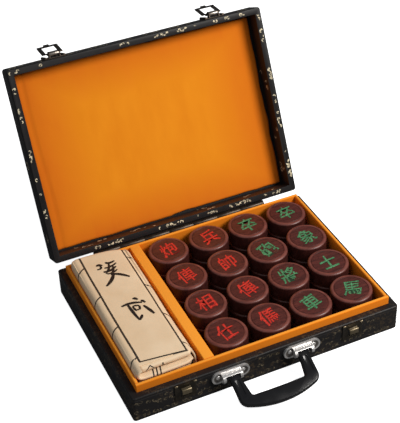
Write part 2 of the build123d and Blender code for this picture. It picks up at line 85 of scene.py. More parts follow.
# ---------------------------------------------------------------------------------------------
# Light and table. One broad lamp at the upper right front and a weaker one at the left, as in a
# product studio, over a white sweep that keeps a faint shadow.
class Wire:
    """An output in a material's node tree. Sums written with it add Math nodes to that tree."""

    def __init__(self, socket):
        self.socket = socket
        self.tree = socket.id_data

    @staticmethod
    def add(tree, kind, settings=None, inputs=None, output=0):
        """Adds a node: its settings first, then the values or wires of its sockets."""
        node = tree.nodes.new(kind)
        for key, value in (settings or {}).items():
            if key == "stops":
                ramp = node.color_ramp.elements
                while len(ramp) < len(value):
                    ramp.new(0.5)
                for stop, (place, colour) in zip(ramp, value):
                    stop.position = place
                    stop.color = (*colour, 1)
            else:
                setattr(node, key, value)
        for key, value in (inputs or {}).items():
            if isinstance(value, Wire):
                tree.links.new(value.socket, node.inputs[key])
            else:
                node.inputs[key].default_value = value
        return Wire(node.outputs[output])

    def math(self, operation, other=0.0, swapped=False, clamp=False):
        pair = (other, self) if swapped else (self, other)
        settings = {"operation": operation, "use_clamp": clamp}
        return Wire.add(self.tree, "ShaderNodeMath", settings, dict(enumerate(pair)))

    def __add__(self, other):
        return self.math("ADD", other)

    def __radd__(self, other):
        return self.math("ADD", other)

    def __sub__(self, other):
        return self.math("SUBTRACT", other)

    def __rsub__(self, other):
        return self.math("SUBTRACT", other, swapped=True)

    def __mul__(self, other):
        return self.math("MULTIPLY", other)

    def __rmul__(self, other):
        return self.math("MULTIPLY", other)

    def __truediv__(self, other):
        return self.math("DIVIDE", other)

    def __gt__(self, other):
        return self.math("GREATER_THAN", other)

    def __lt__(self, other):
        return self.math("LESS_THAN", other)

    def __abs__(self):
        return self.math("ABSOLUTE")

    def mix(self, low, high):
        """Colour between low and high by this value."""
        return Wire.add(
            self.tree,
            "ShaderNodeMix",
            {"data_type": "RGBA"},
            {
                0: self,
                6: low if isinstance(low, Wire) else (*low, 1),
                7: high if isinstance(high, Wire) else (*high, 1),
            },
            2,
        )


def new_finish(name, **constants):
    """A material with its surface shader, whose constant sockets are set at once."""
    material = bpy.data.materials.new(name)
    material.use_nodes = True
    tree = material.node_tree
    surface = tree.nodes["Principled BSDF"]
    for key, value in constants.items():
        surface.inputs[key.replace("_", " ")].default_value = value
    return material, tree, surface


world = bpy.data.worlds.new("studio")
scene.world = world
world.use_nodes = True
sky = world.node_tree
sky.nodes.clear()
seen = Wire.add(sky, "ShaderNodeLightPath")
shiny = Wire(seen.socket.node.outputs["Is Glossy Ray"])
room = Wire.add(sky, "ShaderNodeBackground", {}, {0: (0.9, 0.95, 1.0, 1), 1: 0.27 - shiny * 0.12})
backdrop = Wire.add(sky, "ShaderNodeBackground", {}, {0: (1, 1, 1, 1), 1: 1.0})
both = Wire.add(sky, "ShaderNodeMixShader", {}, {0: seen, 1: room, 2: backdrop})
world_output = sky.nodes.new("ShaderNodeOutputWorld")
sky.links.new(both.socket, world_output.inputs[0])

subject = Vector((0, 0, 0.08))
for name, place, size, power, colour in (
    ("key_lamp", (0.95, -0.80, 1.25), 0.7, 29.5, (1.0, 0.97, 0.93)),
    ("left_lamp", (-0.9, -0.6, 1.1), 0.8, 1.3, (0.95, 0.98, 1.0)),
):
    bpy.ops.object.light_add(type="AREA", location=place)
    lamp = bpy.context.object
    lamp.name = name
    lamp.data.shape = "DISK"
    lamp.data.size = size
    lamp.data.energy = power
    lamp.data.color = colour
    lamp.rotation_euler = (subject - Vector(place)).to_track_quat("-Z", "Y").to_euler()

table_finish, tree, surface = new_finish("white_sweep", Roughness=0.9)
seen = Wire.add(tree, "ShaderNodeLightPath")
tree.links.new(seen.mix((0.16, 0.16, 0.16), (0.9, 0.9, 0.9)).socket, surface.inputs["Base Color"])
tree.links.new((seen * 0.86).mix((0, 0, 0), (1, 1, 1)).socket, surface.inputs["Emission Color"])
surface.inputs["Emission Strength"].default_value = 1.0
bpy.ops.mesh.primitive_plane_add(size=12, location=(0, 0, -0.0004))
table = bpy.context.object
table.name = "table"
table.data.materials.append(table_finish)


# ---------------------------------------------------------------------------------------------
# Frames of the base and the lid. Each is four glued wooden walls, wrapped inside and out in thin
# black printed leatherette, so that every edge is soft and the surface has a fine grain.
def dressed(node, finish, bevel=0.0, segments=2, sharp=32):
    """A merged copy of a CAD node with eased edges, that takes the node's place."""
    bpy.ops.object.select_all(action="DESELECT")
    source = nodes[node]
    source.hide_set(False)
    source.select_set(True)
    bpy.context.view_layer.objects.active = source
    bpy.ops.object.duplicate()
    piece = bpy.context.object
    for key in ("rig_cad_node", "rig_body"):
        if key in piece:
            del piece[key]
    body = source["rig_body"]
    piece.parent = None
    piece.matrix_world = Matrix.Identity(4)
    piece.name = f"{node}_dressed"
    bpy.ops.object.mode_set(mode="EDIT")
    bpy.ops.mesh.select_all(action="SELECT")
    bpy.ops.mesh.remove_doubles(threshold=0.00001)
    bpy.ops.mesh.dissolve_limited(angle_limit=radians(0.5))
    bpy.ops.object.mode_set(mode="OBJECT")
    if bevel:
        easing = piece.modifiers.new("easing", "BEVEL")
        easing.width = bevel
        easing.segments = segments
        easing.limit_method = "ANGLE"
        easing.angle_limit = radians(sharp)
        easing.use_clamp_overlap = True
        bpy.ops.object.modifier_apply(modifier="easing")
    bpy.ops.object.shade_smooth_by_angle(angle=radians(sharp))
    piece.data.materials.clear()
    piece.data.materials.append(finish)
    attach(piece, body)
    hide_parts(node)
    return piece


leatherette, tree, surface = new_finish("printed_leatherette", Roughness=0.5)
surface.inputs["Specular IOR Level"].default_value = 0.26
place = Wire.add(tree, "ShaderNodeTexCoord", output=3)
cloudy = Wire.add(tree, "ShaderNodeTexNoise", {}, {"Vector": place, "Scale": 38.0, "Detail": 4.0})
rubbed = Wire.add(
    tree, "ShaderNodeTexNoise", {}, {"Vector": place, "Scale": 260.0, "Detail": 4.0, "Distortion": 1.4}
)
where = Wire.add(tree, "ShaderNodeSeparateXYZ", {}, {0: place}, 2)
below = where < 0.0325
faint = ((rubbed > 0.56) * (cloudy > 0.47) * below * 0.55)
ground = cloudy.mix((0.0080, 0.0072, 0.0076), (0.0165, 0.0147, 0.0150))
printed = faint.mix(ground, (0.070, 0.047, 0.026))
seam = (abs(abs(where - 0.0167) - 0.0117) < 0.00024) * 0.5
tree.links.new(seam.mix(printed, (0.07, 0.066, 0.066)).socket, surface.inputs["Base Color"])
grain = Wire.add(
    tree, "ShaderNodeTexNoise", {}, {"Vector": place, "Scale": 1100.0, "Detail": 3.0}
)
tree.links.new((cloudy * 0.3 + 0.30).socket, surface.inputs["Roughness"])
bump = Wire.add(
    tree, "ShaderNodeBump", {}, {"Height": grain, "Strength": 0.35, "Distance": 0.0002}
)
tree.links.new(bump.socket, surface.inputs["Normal"])

for node in ("base_frame", "lid_frame"):
    dressed(node, leatherette, bevel=0.0005)
for node in ("base_bottom", "lid_board"):
    dressed(node, leatherette)

# ---------------------------------------------------------------------------------------------
# Print on the covering: loose gilt brush curls, scattered in short rows over the faces. They are
# a foil a few hundredths of a millimetre thick; bright on the lid, on the base a darker, more worn copy whose
# darkness is painted shade.
case_width, case_depth = 0.310, 0.225
base_height, mouth_height, lid_top = 0.032, 0.0324, 0.0569
base_wall, lid_wall = 0.008, 0.0075
hinge = next(joint for joint in frame["joints"] if joint["name"] == "lid_hinge")
hinge_place = Vector(hinge["pos_m"])
lid_opening = Matrix.Rotation(radians(115.4), 4, Vector(hinge["axis"]))
lid_at_rest = Matrix.Translation(hinge_place) @ lid_opening @ Matrix.Translation(-hinge_place)


def gilt(name, colour, roughness, amount):
    finish, tree, surface = new_finish(name, Roughness=roughness, Metallic=0.1)
    place = Wire.add(tree, "ShaderNodeTexCoord", output=3)
    wear = Wire.add(tree, "ShaderNodeTexNoise", {}, {"Vector": place, "Scale": 420.0})
    worn = (wear * 3.4 - 1.7 + amount).math("ADD", 0.0, clamp=True)
    dark = tuple(part * 0.16 for part in colour)
    tree.links.new(worn.mix(dark, colour).socket, surface.inputs["Base Color"])
    return finish


def brush_stroke(mesh, line, width, place_on):
    """A flat ribbon along a line of points, full at its start and tapered at its end, laid on a
    face by place_on."""
    edge = []
    for index, at in enumerate(line):
        part = index / (len(line) - 1)
        along = line[min(index + 1, len(line) - 1)] - line[max(index - 1, 0)]
        side = Vector((-along.y, along.x)).normalized()
        half = width / 2 * (0.35 + 0.9 * sin(pi * min(1.0, 0.12 + part * 0.8)) ** 0.8)
        edge.append([mesh.verts.new(place_on(at + side * half * hand)) for hand in (1, -1)])
    for (left, right), (next_left, next_right) in zip(edge, edge[1:]):
        mesh.faces.new((left, right, next_right, next_left))


def curl_line(centre, size, turn, sweep, samples=12):
    """Points along a curl that opens as it turns."""
    line = []
    for index in range(samples):
        part = index / (samples - 1)
        angle = turn + sweep * part
        reach = size * (0.45 + 0.55 * part)
        line.append(centre + Vector((cos(angle), 0.85 * sin(angle))) * reach)
    return line


def print_curls(name, body, finish, faces, matrix, seed, lift=0.00006):
    """Groups of loose curls on faces. A face is given by a corner, its two sides and the groups
    along it, each with its start, its length and the thickness of its strokes."""
    chance = Random(seed)
    mesh = bmesh.new()
    for corner, across, up, groups in faces:
        corner, across, up = Vector(corner), Vector(across), Vector(up)
        normal = across.cross(up).normalized()
        height, step_x, step_y = up.length, across.normalized(), up.normalized()

        def place_on(at):
            return matrix @ (corner + step_x * at.x + step_y * at.y + normal * rise)

        for start, length, foot, head, width in groups:
            low, high = height * foot, height * head
            curls = max(1, round(length / (0.9 * (high - low))))
            size = length / curls
            for curl in range(curls):
                left = start + curl * size
                for stroke in range(chance.choice((1, 2, 2))):
                    high_part = (high - low) * chance.uniform(0.26, 0.5)
                    centre = Vector(
                        (
                            left + chance.uniform(0.3, 0.7) * size,
                            chance.uniform(low + high_part, high - high_part),
                        )
                    )
                    turn = chance.uniform(0, 2 * pi)
                    sweep = chance.choice((-1, 1)) * chance.uniform(2.0, 4.4)
                    rise = lift + chance.uniform(0, 0.00005)
                    line = curl_line(centre, high_part, turn, sweep)
                    brush_stroke(mesh, line, width * chance.uniform(0.75, 1.2), place_on)
    data = bpy.data.meshes.new(name)
    mesh.to_mesh(data)
    mesh.free()
    piece = bpy.data.objects.new(name, data)
    scene.collection.objects.link(piece)
    piece.data.materials.append(finish)
    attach(piece, body)


def scattered(length, rows, size, spacing, seed, width=0.0009):
    """Groups in rows, with gaps of chance length between them."""
    chance = Random(seed)
    groups = []
    for row in range(rows):
        reach = chance.uniform(0.1, 0.9) * spacing
        while reach < length - size * 3:
            long = size * chance.choice((1, 2, 2, 3))
            foot = min(max((row + chance.uniform(-0.25, 0.5)) / rows, 0.03), 1 - 0.7 / rows)
            groups.append((reach, long, foot, foot + 0.68 / rows, width))
            reach += long + chance.uniform(0.4, 1.5) * spacing
    return groups


wide, deep = case_width / 2, case_depth / 2
inner_wide, inner_deep = wide - lid_wall, deep - lid_wall
lid_rise = lid_top - mouth_height
pad_height = 0.053
rim = lid_wall - 0.0012
inner_rise = pad_height - mouth_height
front_groups = [
    (place / 1000, long / 1000, 0.16, 0.86, 0.0009)
    for place, long in ((9, 5), (36, 5), (132, 12), (173, 20), (203, 13), (223, 5), (247, 8), (263, 7), (283, 6))
]
right_groups = [
    (place / 1000, long / 1000, 0.1, 0.9, width / 1000)
    for place, long, width in (
        (7, 8, 1.2), (26, 15, 1.2), (72, 15, 1.1), (106, 9, 1.2), (126, 3, 0.8), (134, 12, 1.5),
        (172, 4, 0.8), (184, 25, 1.7),
    )
]
left_groups = [
    (place / 1000, long / 1000, 0.15, 0.8, 0.0010)
    for place, long in ((2, 5), (20, 9), (44, 6), (53, 7), (92, 14), (124, 4), (142, 3), (160, 13))
]
back_groups = [
    (place / 1000, long / 1000, 0.15, 0.85, width / 1000)
    for place, long, width in (
        (49, 8, 1.0), (65, 20, 1.2), (128, 5, 0.8), (139, 21, 1.2), (177, 4, 0.9), (192, 14, 0.8),
        (219, 32, 1.5), (267, 5, 1.0), (278, 13, 1.0),
    )
]
lid_faces = [
    # mouth rim: front, back, left, right
    ((wide, -deep + 0.0007, mouth_height), (-1, 0, 0), (0, rim, 0), [(case_width - a - b, b, c, d, e) for a, b, c, d, e in front_groups]),
    ((wide, inner_deep, mouth_height), (-1, 0, 0), (0, rim, 0), [(case_width - a - b, b, c, d, e) for a, b, c, d, e in back_groups]),
    ((-wide + 0.0005, -deep, mouth_height), (0, 1, 0), (rim, 0, 0), left_groups),
    ((inner_wide + 0.0005, -deep, mouth_height), (0, 1, 0), (rim, 0, 0), right_groups),
    # outer walls
    ((-wide, -deep, mouth_height + 0.002), (1, 0, 0), (0, 0, lid_rise - 0.004), scattered(case_width, 2, 0.008, 0.02, 1)),
    ((wide, -deep, mouth_height + 0.002), (0, 1, 0), (0, 0, lid_rise - 0.004), scattered(case_depth, 2, 0.008, 0.02, 2)),
    ((-wide, deep, mouth_height + 0.002), (0, -1, 0), (0, 0, lid_rise - 0.004), scattered(case_depth, 1, 0.008, 0.07, 3)),
    # inner walls: right and back
    ((inner_wide, inner_deep, mouth_height), (0, -1, 0), (0, 0, inner_rise), scattered(2 * inner_deep, 2, 0.007, 0.05, 4)),
    ((-inner_wide, inner_deep, mouth_height), (1, 0, 0), (0, 0, inner_rise), scattered(2 * inner_wide, 2, 0.007, 0.05, 5)),
    # top
    ((-wide, -deep, lid_top), (1, 0, 0), (0, case_depth, 0), scattered(case_width, 9, 0.016, 0.030, 6, 0.0015)),
]
gilt_bright = gilt("gilt_bright", (0.86, 0.74, 0.50), 0.45, 0.62)
print_curls("lid_gilt_print", "lid", gilt_bright, lid_faces, lid_at_rest, 11)
side_height = base_height - 0.005
base_faces = [
    ((-wide, -deep, 0.002), (1, 0, 0), (0, 0, side_height), scattered(case_width, 3, 0.0085, 0.006, 7, 0.0009)),
    ((wide, -deep, 0.002), (0, 1, 0), (0, 0, side_height), scattered(case_depth, 3, 0.0085, 0.006, 8, 0.0009)),
    ((-wide, deep, 0.002), (0, -1, 0), (0, 0, side_height), scattered(case_depth, 3, 0.0075, 0.03, 9, 0.0008)),
    ((wide, deep, 0.002), (-1, 0, 0), (0, 0, side_height), scattered(case_width, 3, 0.0085, 0.006, 10, 0.0009)),
]
# painted shade: the base's print is the same gilt given a darker colour, as if it lay in shadow
gilt_painted_shade = gilt("gilt_painted_shade", (0.200, 0.158, 0.098), 0.5, 0.40)
print_curls("base_print_in_painted_shade", "case", gilt_painted_shade, base_faces, Matrix.Identity(4), 23)

# ---------------------------------------------------------------------------------------------
# Linings of the base and the divider. Board on edge, covered in orange velvet paper that is drawn
# over the top edge, where a lighter orange is painted on as the light it catches.
velvet, tree, surface = new_finish("orange_velvet_paper", Roughness=0.85)
surface.inputs["Sheen Weight"].default_value = 0.06
surface.inputs["Sheen Roughness"].default_value = 0.5
surface.inputs["Sheen Tint"].default_value = (1.0, 0.6, 0.2, 1)
surface.inputs["Specular IOR Level"].default_value = 0.08
place = Wire.add(tree, "ShaderNodeTexCoord", output=3)
brushed = Wire.add(tree, "ShaderNodeTexNoise", {}, {"Vector": place, "Scale": 24.0, "Detail": 5.0})
pile = Wire.add(tree, "ShaderNodeTexNoise", {}, {"Vector": place, "Scale": 2400.0, "Detail": 2.0})
tint = (brushed * 1.6 - 0.3).math("ADD", 0.0, clamp=True)
drawn_over = tint.mix((0.80, 0.200, 0.009), (0.88, 0.245, 0.012))
# painted highlight: the linings' top edges, above 41.2 mm, are given a lighter orange
painted_top_highlight = Wire.add(tree, "ShaderNodeSeparateXYZ", {}, {0: place}, 2) > 0.0412
tree.links.new((painted_top_highlight * 0.75).mix(drawn_over, (0.90, 0.360, 0.042)).socket, surface.inputs["Base Color"])
bump = Wire.add(tree, "ShaderNodeBump", {}, {"Height": pile, "Strength": 0.3, "Distance": 0.0001})
tree.links.new(bump.socket, surface.inputs["Normal"])
for node in ("lining_front", "lining_back", "lining_left", "lining_right", "divider"):
    dressed(node, velvet, bevel=0.0004, segments=3)
for node in ("floor_lining_board", "floor_lining_pieces"):
    dressed(node, velvet)

# ---------------------------------------------------------------------------------------------
# Pad in the lid. A sheet of thin foam under the same velvet paper, glued in by hand: its edges
# wander a little, a soft crease runs up its left side, and painted shade darkens it towards the walls.
pad_middle = lid_at_rest @ Vector((0, 0, 0.053))
pad_slope = lid_at_rest.to_3x3() @ Vector((0, 1, 0))
pad_velvet, tree, surface = new_finish("pad_velvet_paper", Roughness=0.85)
surface.inputs["Sheen Weight"].default_value = 0.06
surface.inputs["Sheen Roughness"].default_value = 0.5
surface.inputs["Sheen Tint"].default_value = (1.0, 0.6, 0.2, 1)
surface.inputs["Specular IOR Level"].default_value = 0.08
place = Wire.add(tree, "ShaderNodeTexCoord", output=3)
streaked = Wire.add(tree, "ShaderNodeMapping", {}, {"Vector": place, "Scale": (2.2, 1.0, 0.6)})
brushed = Wire.add(tree, "ShaderNodeTexNoise", {}, {"Vector": streaked, "Scale": 26.0, "Detail": 6.0})
pile = Wire.add(tree, "ShaderNodeTexNoise", {}, {"Vector": place, "Scale": 2400.0, "Detail": 2.0})
across = Wire.add(tree, "ShaderNodeSeparateXYZ", {}, {0: place})
dot = {"operation": "DOT_PRODUCT"}
along = Wire.add(tree, "ShaderNodeVectorMath", dot, {0: place, 1: tuple(pad_slope)}, 1)
# painted shade: towards its edges the pad turns darker and redder, as in the shade of the lid's walls
off_side = abs(across) / 0.1475
off_end = abs(along - pad_middle.dot(pad_slope)) / 0.105
far = off_side.math("MAXIMUM", off_end) + (brushed - 0.5) * 0.35
painted_edge_shade = ((far - 0.5) * 1.9).math("ADD", 0.0, clamp=True)
tint = (brushed * 1.6 - 0.3).math("ADD", 0.0, clamp=True)
bright = tint.mix((0.78, 0.230, 0.008), (0.86, 0.285, 0.012))
tree.links.new(painted_edge_shade.mix(bright, (0.70, 0.150, 0.008)).socket, surface.inputs["Base Color"])
bump = Wire.add(tree, "ShaderNodeBump", {}, {"Height": pile, "Strength": 0.3, "Distance": 0.0001})
tree.links.new(bump.socket, surface.inputs["Normal"])
pad_width = case_width - 2 * lid_wall - 0.0006
pad_depth = case_depth - 2 * lid_wall - 0.0006
pad_thickness = 0.0014
bpy.ops.object.select_all(action="DESELECT")
bpy.ops.mesh.primitive_grid_add(x_subdivisions=118, y_subdivisions=84, size=1)
pad = bpy.context.object
pad.name = "lid_pad_padded"
for vertex in pad.data.vertices:
    x, y = vertex.co.x * pad_width, vertex.co.y * pad_depth
    edge = min(pad_width / 2 - abs(x), pad_depth / 2 - abs(y))
    loose = 0.0019 if x > 0 else 0.0008
    wander = loose * (1 + noise.noise(Vector((x * 45, y * 45, 3)))) * max(0.0, 1 - edge / 0.006)
    x -= wander * (1 if x > 0 else -1) * (abs(x) > pad_width / 2 - 0.006)
    y -= wander * (1 if y > 0 else -1) * (abs(y) > pad_depth / 2 - 0.006)
    swell = 0.00025 * noise.noise(Vector((x * 22, y * 22, 0))) + 0.00012 * noise.noise(
        Vector((x * 80, y * 80, 5))
    )
    off_crease = abs(x + pad_width / 2 - 0.0105 - 0.0012 * sin(y * 31)) / 0.0026
    crease = 0.0010 * max(0.0, 1 - off_crease)
    rolled = 0.0011 * max(0.0, 1 - edge / 0.002) ** 2
    vertex.co = (x, y, pad_height - swell + crease + rolled - 0.00005)
pad.data.transform(lid_at_rest)
bpy.ops.object.mode_set(mode="EDIT")
bpy.ops.mesh.select_all(action="SELECT")
bpy.ops.mesh.flip_normals()
bpy.ops.object.mode_set(mode="OBJECT")
backing = pad.modifiers.new("backing", "SOLIDIFY")
backing.thickness = 0.0009
backing.offset = -1
bpy.ops.object.modifier_apply(modifier="backing")
bpy.ops.object.shade_smooth()
pad.data.materials.append(pad_velvet)
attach(pad, "lid")
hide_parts("lid_pad")

# ---------------------------------------------------------------------------------------------
# Pieces. Turned drums of dark red wood with a bevelled rim and a line cut round the face. The
# rank is carved and filled with red or green paint, the cut's shade painted in. The wood is stained and waxed.
piece_pitch, piece_radius = 0.0502, 0.0232
piece_height, rim_round = 0.0195, 0.0027
piece_bay_middle = 0.0422
stack_foot = 0.0038


def wood_finish(name, dark, light, worn):
    finish, tree, surface = new_finish(name, Roughness=0.42)
    surface.inputs["Specular IOR Level"].default_value = 0.45
    place = Wire.add(tree, "ShaderNodeTexCoord", output=3)
    stretched = Wire.add(
        tree, "ShaderNodeMapping", {}, {"Vector": place, "Scale": (1.0, 6.0, 2.0)}
    )
    figure = Wire.add(
        tree, "ShaderNodeTexNoise", {}, {"Vector": stretched, "Scale": 62.0, "Detail": 6.0, "Distortion": 0.6}
    )
    pores = Wire.add(
        tree, "ShaderNodeTexNoise", {}, {"Vector": stretched, "Scale": 330.0, "Detail": 3.0}
    )
    shade = (figure * 1.9 - 0.45).math("ADD", 0.0, clamp=True)
    colour = shade.mix(dark, light)
    colour = ((pores < 0.42) * 0.5).mix(colour, tuple(part * 0.3 for part in dark))
    # lighter rims: partly wear, partly a painted highlight where the rounded rim catches the light
    edge = Wire.add(tree, "ShaderNodeAttribute", {"attribute_name": "rim"}, output=2)
    patchy = Wire.add(tree, "ShaderNodeTexNoise", {}, {"Vector": place, "Scale": 90.0})
    colour = (edge * (patchy * 1.4 - 0.1)).math("ADD", 0.0, clamp=True).mix(colour, worn)
    # painted shade: the drums' sides, below the rim, take a darker wood, as shaded by neighbouring pieces
    side = Wire.add(tree, "ShaderNodeAttribute", {"attribute_name": "side"}, output=2)
    colour = (side * 0.5).mix(colour, tuple(part * 0.35 for part in dark))
    tree.links.new(colour.socket, surface.inputs["Base Color"])
    tree.links.new((pores * 0.3 + 0.26).socket, surface.inputs["Roughness"])
    bump = Wire.add(
        tree, "ShaderNodeBump", {}, {"Height": pores, "Strength": 0.2, "Distance": 0.0002}
    )
    tree.links.new(bump.socket, surface.inputs["Normal"])
    return finish


red_wood = wood_finish(
    "stained_rosewood", (0.042, 0.0095, 0.0075), (0.130, 0.0280, 0.0205), (0.24, 0.070, 0.050)
)


def turned_drum(name, top_layer):
    """One drum at the origin: a cylinder with rounded rims and, on top, a cut ring."""
    bpy.ops.object.select_all(action="DESELECT")
    bpy.ops.mesh.primitive_cylinder_add(
        vertices=80, radius=piece_radius, depth=piece_height, location=(0, 0, piece_height / 2)
    )
    drum = bpy.context.object
    drum.name = name
    bpy.ops.object.transform_apply(location=True)
    easing = drum.modifiers.new("easing", "BEVEL")
    easing.width = rim_round
    easing.segments = 6
    easing.limit_method = "ANGLE"
    easing.angle_limit = radians(60)
    bpy.ops.object.modifier_apply(modifier="easing")
    bpy.ops.object.mode_set(mode="EDIT")
    bpy.ops.mesh.select_all(action="DESELECT")
    mesh = bmesh.from_edit_mesh(drum.data)
    top = max(mesh.faces, key=lambda face: face.calc_center_median().z)
    top.select = True
    bmesh.update_edit_mesh(drum.data)
    if top_layer:
        for inset, sink in (
            (0.0003, 0.0),
            (0.0013, 0.0),
            (0.0003, -0.0004),
            (0.0003, 0.0004),
            (0.0030, 0.0),
            (0.0060, 0.0),
        ):
            bpy.ops.mesh.inset(thickness=inset, depth=sink)
    bpy.ops.object.mode_set(mode="OBJECT")
    rim = drum.data.attributes.new("rim", "FLOAT", "POINT")
    for vertex, part in zip(drum.data.vertices, rim.data):
        spread = Vector((vertex.co.x, vertex.co.y)).length
        near_top = 1 - min(1, abs(vertex.co.z - piece_height) / (rim_round * 0.7))
        part.value = near_top * (spread > piece_radius - rim_round - 0.0004)
    # marks the sides below the rim, where shade is painted in
    side = drum.data.attributes.new("side", "FLOAT", "POINT")
    for vertex, part in zip(drum.data.vertices, side.data):
        part.value = float(vertex.co.z < piece_height - rim_round * 0.6)
    bpy.ops.object.shade_smooth_by_angle(angle=radians(50))
    drum.data.materials.append(red_wood)
    return drum


paints = {}
for side, colour, pale in (
    ("red", (0.50, 0.010, 0.006), (0.72, 0.045, 0.022)),
    ("green", (0.028, 0.150, 0.055), (0.110, 0.330, 0.150)),
):
    paint, tree, surface = new_finish(f"{side}_paint", Roughness=0.55)
    place = Wire.add(tree, "ShaderNodeTexCoord", output=3)
    patchy = Wire.add(
        tree, "ShaderNodeTexNoise", {}, {"Vector": place, "Scale": 430.0, "Detail": 3.0}
    )
    blotch = (patchy * 2.6 - 0.8).math("ADD", 0.0, clamp=True)
    missed = Wire.add(
        tree, "ShaderNodeTexNoise", {}, {"Vector": place, "Scale": 700.0, "Detail": 2.0}
    )
    coat = blotch.mix(colour, pale)
    coat = ((missed < 0.40) * 0.8).mix(coat, (0.02, 0.007, 0.005))
    tree.links.new(coat.socket, surface.inputs["Base Color"])
    # painted shadow for the walls of the cut: a darker, bolder copy of the rank laid under the paint
    groove, tree, surface = new_finish(f"{side}_groove", Roughness=0.6)
    surface.inputs["Base Color"].default_value = (*(part * 0.25 for part in colour), 1)
    paints[side] = (paint, groove)

ranks = {
    "red_general": "帥",
    "red_advisors": "仕",
    "red_elephants": "相",
    "red_horses": "傌",
    "red_chariots": "俥",
    "red_cannons": "炮",
    "red_soldiers": "兵",
    "green_general": "將",
    "green_advisors": "士",
    "green_elephants": "象",
    "green_horses": "馬",
    "green_chariots": "車",
    "green_cannons": "砲",
    "green_soldiers": "卒",
}
top_layer = [
    ["red_cannons", "red_soldiers", "green_soldiers", "green_soldiers"],
    ["red_chariots", "red_general", "green_cannons", "green_elephants"],
    ["red_elephants", "red_chariots", "green_general", "green_advisors"],
    ["red_advisors", "red_horses", "green_chariots", "green_horses"],
]
under_layer = [
    ["red_soldiers", "red_cannons", "green_cannons", "green_elephants"],
    ["red_soldiers", "red_soldiers", "green_soldiers", "green_soldiers"],
    ["red_soldiers", "red_horses", "green_soldiers", "green_chariots"],
    ["red_elephants", "red_advisors", "green_horses", "green_advisors"],
]
turns = [
    [10, 14, 8, 6],
    [16, 12, 22, 10],
    [10, 20, 4, 8],
    [14, 12, 16, -16],
]


def carved_rank(name, sign, boldness, height, wander):
    """The rank as a thin raised mesh whose outline wanders like a brush's."""
    bpy.ops.object.select_all(action="DESELECT")
    bpy.ops.object.text_add()
    text = bpy.context.object
    text.data.body = sign
    text.data.size = 0.0238
    text.data.shear = 0.12
    text.data.offset = boldness
    text.data.extrude = height
    text.data.resolution_u = 3
    bpy.ops.object.convert(target="MESH")
    text = bpy.context.object
    text.name = name
    corners = [vertex.co for vertex in text.data.vertices]
    low = Vector((min(c.x for c in corners), min(c.y for c in corners), 0))
    high = Vector((max(c.x for c in corners), max(c.y for c in corners), 0))
    middle = (low + high) / 2
    for vertex in text.data.vertices:
        at = vertex.co - middle
        push = noise.noise_vector(Vector((at.x * 210, at.y * 210, wander * 3.7)))
        fine = noise.noise_vector(Vector((at.x * 620, at.y * 620, wander * 5.1)))
        at.x = at.x * 0.92 + push.x * 0.0011 + fine.x * 0.00045
        at.y = at.y * 1.02 + push.y * 0.0011 + fine.y * 0.00045
        vertex.co = at
    return text


drums = {True: turned_drum("drum_top", True), False: turned_drum("drum_under", False)}
grouped = {name: [] for name in ranks}
painted = {name: [] for name in ranks}
painted_groove_shadows = {name: [] for name in ranks}
for layer, rows in ((1, top_layer), (0, under_layer)):
    for row, names in enumerate(rows):
        for column, name in enumerate(names):
            x = piece_bay_middle + (column - 1.5) * piece_pitch
            y = (1.5 - row) * piece_pitch
            foot = stack_foot + layer * piece_height
            turned = Matrix.Rotation(radians(37 * row + 71 * column), 4, "Z")
            spot = Matrix.Translation((x, y, foot)) @ turned
            copy = drums[bool(layer)].copy()
            copy.data = copy.data.copy()
            copy.data.transform(spot)
            scene.collection.objects.link(copy)
            grouped[name].append(copy)
            if not layer:
                continue
            angle = Matrix.Rotation(radians(turns[row][column]), 4, "Z")
            face = Matrix.Translation((x, y, foot + piece_height)) @ angle
            groove = carved_rank("groove", ranks[name], 0.00052, 0.00005, row + column)
            groove.data.transform(face)
            groove.data.materials.append(paints[name.split("_")[0]][1])
            painted_groove_shadows[name].append(groove)
            paint = carved_rank("paint", ranks[name], 0.00026, 0.00009, row + column)
            paint.data.transform(face)
            paint.data.materials.append(paints[name.split("_")[0]][0])
            painted[name].append(paint)
for drum in drums.values():
    bpy.data.objects.remove(drum)
for name in ranks:
    for kind, parts in (("wood", grouped), ("groove", painted_groove_shadows), ("rank", painted)):
        bpy.ops.object.select_all(action="DESELECT")
        for part in parts[name]:
            part.select_set(True)
        bpy.context.view_layer.objects.active = parts[name][0]
        if len(parts[name]) > 1:
            bpy.ops.object.join()
        piece = bpy.context.view_layer.objects.active
        piece.name = f"{name}_{kind}"
        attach(piece, "case")
        if kind == "wood":
            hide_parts(name)

# ---------------------------------------------------------------------------------------------
# Folded playing board. A printed sheet of cream imitation leather, folded into layers and wrapped
# once round itself. It bulges, its long edges are round, and its folds show at the front end.
board_left, board_right = -0.1429, -0.0743
board_back_left, board_back_right = 0.0992, 0.0925
board_foot = 0.0038
board_middle = (board_left + board_right) / 2
sheet_thickness = 0.0014

cream, tree, surface = new_finish("cream_leather", Roughness=0.5)
surface.inputs["Specular IOR Level"].default_value = 0.35
place = Wire.add(tree, "ShaderNodeTexCoord", output=3)
where = Wire.add(tree, "ShaderNodeSeparateXYZ", {}, {0: place})
east, north, height = where, Wire(where.socket.node.outputs[1]), Wire(where.socket.node.outputs[2])
mottle = Wire.add(tree, "ShaderNodeTexNoise", {}, {"Vector": place, "Scale": 30.0, "Detail": 5.0})
skin = Wire.add(tree, "ShaderNodeTexVoronoi", {}, {"Vector": place, "Scale": 1500.0})
shaky = Wire.add(tree, "ShaderNodeTexNoise", {}, {"Vector": place, "Scale": 14.0, "Detail": 1.0})
shake = (shaky - 0.5) * 0.006
ink_edge = Wire.add(tree, "ShaderNodeTexNoise", {}, {"Vector": place, "Scale": 500.0})
pen = (ink_edge - 0.5) * 0.0003 + 0.0008
outer = height > 0.030
left_line = abs(east + 0.1330 + shake * 0.5) < pen * 1.45
